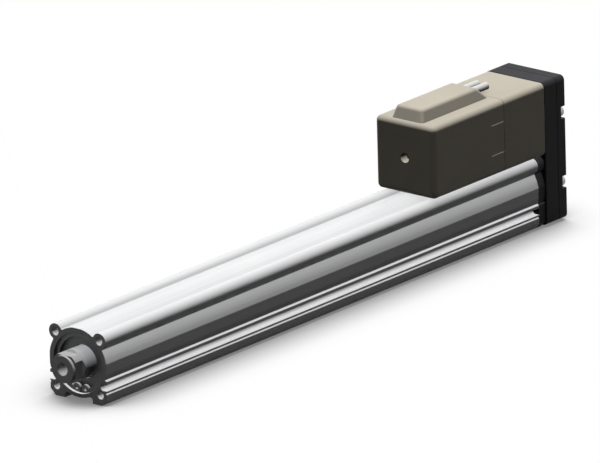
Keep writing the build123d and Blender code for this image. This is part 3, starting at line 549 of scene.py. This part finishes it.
# %% [markdown]
# A tapped hole shows its thread. A tap leaves a ridge of V section that winds once per pitch. A Screw
# modifier could wind it, but it would stay live on the piece. In bmesh the section is one triangle,
# spun about the hole's axis while it moves along it, which leaves a plain closed mesh. The ridge's
# foot lies a hair inside the wall of the hole, so that no gap shows.

# %% Thread of a tapped hole
ridge_share = 0.42
foot_in_wall = 0.05
steps_per_turn = 20


def thread(name, mouth, outward, bore_mm, pitch_mm, length_mm, body, material):
    """Ridge of an internal thread, which starts at the mouth of a hole and winds inwards."""
    height = ridge_share * pitch_mm
    half_width = height
    foot = bore_mm + foot_in_wall
    section = [(-half_width, foot), (0, foot - height), (half_width, foot)]
    built = bmesh.new()
    corners = [built.verts.new((along * MM, 0, radius * MM)) for along, radius in section]
    triangle = built.faces.new(corners)
    turns = length_mm / pitch_mm
    steps = round(steps_per_turn * turns)
    bmesh.ops.spin(
        built, geom=[*corners, *triangle.edges, triangle], cent=(0, 0, 0), axis=(1, 0, 0),
        angle=2 * math.pi * turns, steps=steps, dvec=Vector((-length_mm * MM / steps, 0, 0)),
        use_merge=False,
    )
    bmesh.ops.recalc_face_normals(built, faces=built.faces[:])
    turn = along_x.rotation_difference(outward).to_matrix().to_4x4()
    bmesh.ops.transform(built, matrix=Matrix.Translation(mouth) @ turn, verts=built.verts[:])
    finish_piece(name, built, body, material)


print("a thread has", steps_per_turn, "steps per turn")

# %% [markdown]
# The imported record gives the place, the spacing and the bore of every bolt pattern, so each ridge
# lands in its hole. The four holes in the front face and the four in the feet take M5 screws, whose
# pitch is 0.8 mm. A tap can't cut down to the end of a blind hole, so each ridge stops short of it. Cut
# threads are bare metal, so they are brighter than the anodised face round them.

# %% Threads in the body
cut_aluminium = turned_steel(
    "freshly_cut_aluminium", ("e2e3e4", "f2f2f3"), metallic=0.08, roughness=(0.3, 0.4),
    ring_mm=0.4, depth_mm=0.003,
)
m5_pitch = 0.8
mouth_depth = 0.9
front_thread_length = 6.0
foot_thread_length = 4.8


def pattern_threads(mount_name, label, along, across, length_mm):
    """One thread for each hole of a bolt pattern, whose sides run along and across."""
    mount = mounts[mount_name]
    dims = mount["dims"]
    outward = Vector(mount["axis"])
    centre = Vector(mount["pos_m"]) - outward * mouth_depth * MM
    number = 0
    for side in (-0.5, 0.5):
        for end in (-0.5, 0.5):
            number += 1
            reach = along * side * dims["spacing_x_mm"] + across * end * dims["spacing_y_mm"]
            thread(
                f"{label}_{number}", centre + reach * MM, outward, dims["hole_r_mm"], m5_pitch,
                length_mm, "housing", cut_aluminium,
            )


pattern_threads("front_bolts", "front_thread", along_y, along_z, front_thread_length)
pattern_threads("foot_bolts", "foot_thread", along_x, along_y, foot_thread_length)

# %% [markdown]
# The rod's end has an M8 thread, with a pitch of 1.25 mm, for the load that the cylinder moves. It
# rides on the rod, so it travels with it.

# %% Thread in the rod's end
cut_steel = turned_steel(
    "freshly_cut_steel", ("c8c9ca", "dcddde"), metallic=0.08, roughness=(0.3, 0.4),
    ring_mm=0.4, depth_mm=0.003,
)
rod_end = mounts["rod_end_thread"]["dims"]
m8_pitch = 1.25
rod_mouth_depth = 1.3
rod_mouth = Vector((rod_tip - rod_mouth_depth * MM, 0, 0))
thread(
    "rod_end_thread", rod_mouth, along_x, rod_end["r_mm"], m8_pitch,
    rod_end["length_mm"] - m8_pitch, "rod", cut_steel,
)

# %% [markdown]
# Each cable ends in a clean cut. Four insulated cores lie in the white sheath, each in smooth plastic of
# its own colour, and the copper wire shows as a dot in the middle of each core. A cut wire's end is dull
# beside the rest of it, so its copper has no mirror.

# %% Colours of the cores
core_colours = {"brown": "5c3a22", "blue": "2d4f8a", "black": "232325", "white": "dcdcd8"}
copper = moulded("bright_copper", ("b06a43", "c98358"), (0.25, 0.35), grain_mm=0.3, depth_mm=0.005)
insulations = {}
for colour, code in core_colours.items():
    insulations[colour] = moulded(
        f"{colour}_insulation", (code, code), (0.35, 0.45), grain_mm=0.4, depth_mm=0.003,
    )
print("cores in each cable:", len(insulations))

# %% [markdown]
# A core is a short cylinder with bevelled rims. It stands 0.12 mm proud of the cut and its wire 0.2 mm,
# so that neither flickers against the sheath's flat end. Only the ends show, so a core is 1 mm long.

# %% Cut ends of the cables
core_radius = 0.62
core_circle = 1.05
core_length = 1.0
core_proud = 0.12
core_rim = 0.08
wire_radius = core_radius / 2
wire_length = 0.6
wire_proud = 0.2
wire_rim = 0.05
round_sides = 20


def stub(radius_mm, rear, length_mm, y, z, bevel_mm):
    """Short cylinder along X with both rims bevelled."""
    built = bmesh.new()
    length = length_mm * MM
    place = Matrix.Translation((rear + length / 2, y, z)) @ Matrix.Rotation(math.pi / 2, 4, "Y")
    bmesh.ops.create_cone(
        built, cap_ends=True, segments=round_sides, radius1=radius_mm * MM, radius2=radius_mm * MM,
        depth=length, matrix=place,
    )
    rims = [edge for edge in built.edges if any(len(face.verts) > 4 for face in edge.link_faces)]
    bmesh.ops.bevel(
        built, geom=rims, offset=bevel_mm * MM, segments=2, profile=0.5, affect="EDGES", material=-1,
    )
    bmesh.ops.recalc_face_normals(built, faces=built.faces[:])
    return built


for cable in ("motor_cable", "encoder_cable"):
    centre = middle(cable)
    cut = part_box(cable)[0].x
    for number, colour in enumerate(core_colours):
        angle = (number + 0.5) * math.pi / 2
        y = centre.y + core_circle * MM * math.cos(angle)
        z = centre.z + core_circle * MM * math.sin(angle)
        core = stub(core_radius, cut - core_proud * MM, core_length, y, z, core_rim)
        finish_piece(f"{cable}_{colour}_core", core, "housing", insulations[colour])
        wire = stub(wire_radius, cut - wire_proud * MM, wire_length, y, z, wire_rim)
        finish_piece(f"{cable}_{colour}_wire", wire, "housing", copper)

# %% [markdown]
# The floor is a wide pale sheet. The camera, mirrors and glass see it as white, and it darkens softly
# round the foot of the object. A lamp's own shadow would fall on one side or have a hard edge, so this
# shade is a painted shadow: the Ambient Occlusion node, which measures how much of the sky over a spot
# is open, dims the floor's white glow. A quarter of the floor's white comes from the lamps. To light
# that bounces, the floor is dark, so that the sides of the object stay darker than its top.

# %% Floor finish
shadow_reach = 46.0
# Shares of open sky at which the painted shadow is deepest, and at which it ends.
shadow_deepest = 0.32
shadow_ends = 0.96
shadow_samples = 16
lit_share = 0.25


def shows_white(tree):
    """1 for what the camera, a reflection or a view through glass meets, and 0 for bounced light."""
    path = add_node(tree, "ShaderNodeLightPath")
    first = add_node(
        tree, "ShaderNodeMath", operation="MAXIMUM",
        links={0: path.outputs["Is Camera Ray"], 1: path.outputs["Is Glossy Ray"]},
    )
    both = add_node(
        tree, "ShaderNodeMath", operation="MAXIMUM",
        links={0: first.outputs[0], 1: path.outputs["Is Transmission Ray"]},
    )
    return both.outputs[0]


def floor_finish():
    """White with a painted soft shadow to what sees it, and dark to light that bounces."""
    material, tree = new_material("pale_floor")
    # The shadow round the object's foot is painted: the AO node dims the floor's white glow.
    open_sky = add_node(
        tree, "ShaderNodeAmbientOcclusion", samples=shadow_samples, inputs={"Distance": shadow_reach * MM},
    )
    painted_shadow_falloff = add_node(
        tree, "ShaderNodeMapRange", interpolation_type="SMOOTHSTEP",
        inputs={"From Min": shadow_deepest, "From Max": shadow_ends},
        links={"Value": open_sky.outputs["AO"]},
    )
    painted_shadow_glow = add_node(
        tree, "ShaderNodeEmission", inputs={"Color": srgb("ffffff")},
        links={"Strength": painted_shadow_falloff.outputs["Result"]},
    )
    lit = add_node(tree, "ShaderNodeBsdfDiffuse", inputs={"Color": srgb("ffffff")})
    pale = add_node(
        tree, "ShaderNodeMixShader",
        inputs={0: lit_share}, links={1: painted_shadow_glow.outputs[0], 2: lit.outputs[0]},
    )
    dim = add_node(tree, "ShaderNodeBsdfDiffuse", inputs={"Color": srgb("262626")})
    floor_shader = add_node(
        tree, "ShaderNodeMixShader",
        links={0: shows_white(tree), 1: dim.outputs[0], 2: pale.outputs[0]},
    )
    finish_material(tree, floor_shader)
    return material


print("the floor's shadow reaches", shadow_reach, "mm")

# %% [markdown]
# The sheet is 60 m wide, so that its edge never comes into the picture. It lies a hair below the lowest
# face of the object, so that the two don't flicker through each other.

# %% Floor
floor_half_side = 30.0
floor_gap = 0.02
floor_built = bmesh.new()
bmesh.ops.create_grid(floor_built, x_segments=1, y_segments=1, size=floor_half_side)
floor_place = Vector((0, 0, floor_height - floor_gap * MM))
bmesh.ops.translate(floor_built, vec=floor_place, verts=floor_built.verts[:])
floor_mesh = bpy.data.meshes.new("floor")
floor_built.to_mesh(floor_mesh)
floor_built.free()
floor_mesh.materials.append(floor_finish())
floor = bpy.data.objects.new("floor", floor_mesh)
bpy.context.scene.collection.objects.link(floor)
print("floor at", round(floor_place.z / MM, 2), "mm,", 2 * floor_half_side, "m wide")

# %% [markdown]
# The world works the same way: white where it is seen, and only a faint fill where it lights.

# %% World
faint_fill = 0.04
world = bpy.data.worlds.new("studio")
world.use_nodes = True
bpy.context.scene.world = world
world.node_tree.nodes.clear()
fill = add_node(
    world.node_tree, "ShaderNodeMapRange",
    inputs={"To Min": faint_fill, "To Max": 1.0}, links={"Value": shows_white(world.node_tree)},
)
sky = add_node(
    world.node_tree, "ShaderNodeBackground",
    inputs={"Color": srgb("ffffff")}, links={"Strength": fill.outputs["Result"]},
)
add_node(world.node_tree, "ShaderNodeOutputWorld", links={"Surface": sky.outputs[0]})
print("the world is white to the camera, and lights with a strength of", faint_fill)

# %% [markdown]
# The light comes from straight overhead, so the tops are bright and every upright face is dark. Two
# soft lights share the work. The larger one casts no shadows, which keeps the body bright under the
# motor and inside its recesses. The other casts soft ones. A top that got pi watts per square metre
# would render in the colour that is written for it, and the two shares and the world's faint fill add
# up to that. Light that bounces from one surface to the next is left out, because the bright body
# would light the front of the motor cover, which is as dark as its side in the photograph.

# %% Light
open_share = 0.84
soft_share = 0.12


def overhead(name, share, angle, shadows):
    """Sun that shines straight down with a share of the full light. A wide angle, in degrees, is soft."""
    light = bpy.data.lights.new(name, "SUN")
    light.energy = share * math.pi
    light.angle = math.radians(angle)
    light.use_shadow = shadows
    lamp = bpy.data.objects.new(name, light)
    bpy.context.scene.collection.objects.link(lamp)


overhead("open_key", open_share, angle=6, shadows=False)
overhead("soft_key", soft_share, angle=30, shadows=True)
bpy.context.scene.cycles.diffuse_bounces = 0
bpy.context.scene.view_settings.view_transform = "Standard"
print("light from overhead and all round:", round(open_share + soft_share + faint_fill, 2))

# %% [markdown]
# The photograph has almost no perspective. A very long lens from far away does the same, and unlike an
# orthographic camera it keeps the little that there is. The two directions below, towards the camera
# and to the right across the picture, were measured from the body's edges. The picture is 363.67 mm
# wide at the middle of the object, and the target is the point that lies in its centre.

# %% Camera
towards_camera = Vector((0.73113, 0.60709, 0.31127))
across_picture = Vector((-0.63236, 0.77427, -0.02479))
picture_width = 363.67 * MM
target = Vector((-214.68, -2.8, 24.71)) * MM
camera_data = bpy.data.cameras.new("camera")
camera_data.sensor_width = 36.0
camera_data.lens = 1250.0
camera = bpy.data.objects.new("camera", camera_data)
bpy.context.scene.collection.objects.link(camera)
bpy.context.scene.camera = camera
back = towards_camera.normalized()
up = back.cross(across_picture).normalized()
right = up.cross(back)
distance = picture_width * camera_data.lens / camera_data.sensor_width
facing = Matrix((right, up, back)).transposed().to_4x4()
camera.matrix_world = Matrix.Translation(target + back * distance) @ facing
# The camera sees from 0.1 m away to three times as far as the object.
camera_data.clip_start = 0.1
camera_data.clip_end = 3 * distance
print("camera stands", round(distance, 2), "m away")
